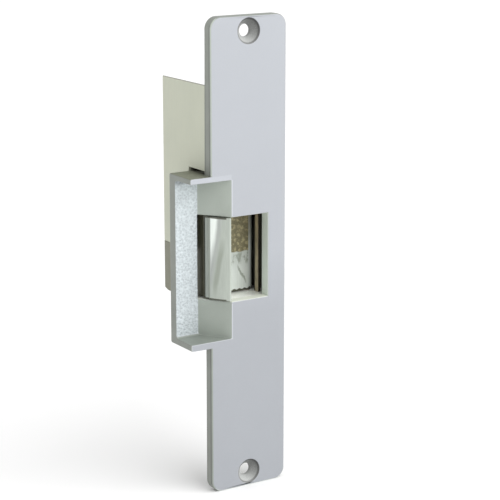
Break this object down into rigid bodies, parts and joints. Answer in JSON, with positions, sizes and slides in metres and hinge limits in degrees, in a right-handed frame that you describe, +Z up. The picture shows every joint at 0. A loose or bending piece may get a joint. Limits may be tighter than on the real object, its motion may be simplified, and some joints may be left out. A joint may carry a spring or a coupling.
{
  "type": "electric door strike",
  "caption": "Electric door strike with a long faceplate, a side lip tray, a pivoting keeper and a solenoid case behind it.",
  "frame": {"origin": "middle of the two fixing screws on the faceplate's back (seating) face", "axes": "+X to the right as seen from the room, +Y into the door frame, +Z up"},
  "size_m": [0.0462, 0.0421, 0.2016],
  "materials": {
    "plate_casting": "satin silver-grey paint over a cast plate, with finer texture in the lip tray",
    "keeper_casting": "satin cast steel with light machining bands",
    "olive_passivated_steel": "pale olive passivated sheet steel",
    "chassis_steel": "dull brownish-grey sheet steel",
    "brown_steel": "brown blued strip steel",
    "zinc_plated_steel": "bright zinc plate",
    "ground_steel": "ground steel bar",
    "spring_steel": "spring steel, lightly oiled",
    "bronze": "sintered bronze",
    "black_rubber": "matt moulded rubber",
    "black_nylon": "matt moulded nylon",
    "coil_tape": "yellow polyester tape over copper winding",
    "green_plastic": "moulded plastic"
  },
  "bodies": {
    "strike_case": {"faceplate": "plate_casting", "lower_bearing_plate": "zinc_plated_steel", "upper_bearing_plate": "zinc_plated_steel", "guard_strip": "brown_steel", "chassis": "chassis_steel", "side_cover": "olive_passivated_steel", "keeper_pin": "ground_steel", "thrust_washers": "spring_steel", "keeper_spring": "spring_steel", "stop_pin": "ground_steel", "open_stop_bumper": "black_rubber", "solenoid_frame": "zinc_plated_steel", "solenoid_bobbin": "black_nylon", "solenoid_coil": "coil_tape", "pole_piece": "ground_steel", "locking_pin_bush": "bronze", "plunger_spring": "spring_steel", "terminal_block": "green_plastic", "terminal_screws": "zinc_plated_steel", "terminal_block_screws": "zinc_plated_steel", "bracket_screws": "zinc_plated_steel", "case_screws": "zinc_plated_steel", "cover_screws": "zinc_plated_steel", "solenoid_screws": "zinc_plated_steel", "keeper_pin_clip": "spring_steel"},
    "keeper_swinging": {"keeper": "keeper_casting", "keeper_bushes": "bronze"},
    "lock_plunger": {"plunger": "ground_steel", "locking_pin": "ground_steel", "plunger_clip": "spring_steel"}
  },
  "joints": [
    {"name": "keeper_swing", "type": "hinge", "parent": "strike_case", "child": "keeper_swinging", "pos_m": [0.007, 0.0126, 0], "axis": [0, 0, -1], "range_deg": [0, 40], "stiffness_Nm_per_rad": 0.15, "springref_deg": -28.65, "deforming": ["keeper_spring"]},
    {"name": "lock_travel", "type": "slide", "parent": "strike_case", "child": "lock_plunger", "axis": [0, 0, -1], "range_m": [0, 0.006], "stiffness_N_per_m": 150, "springref_m": -0.002, "deforming": ["plunger_spring"]}
  ]
}
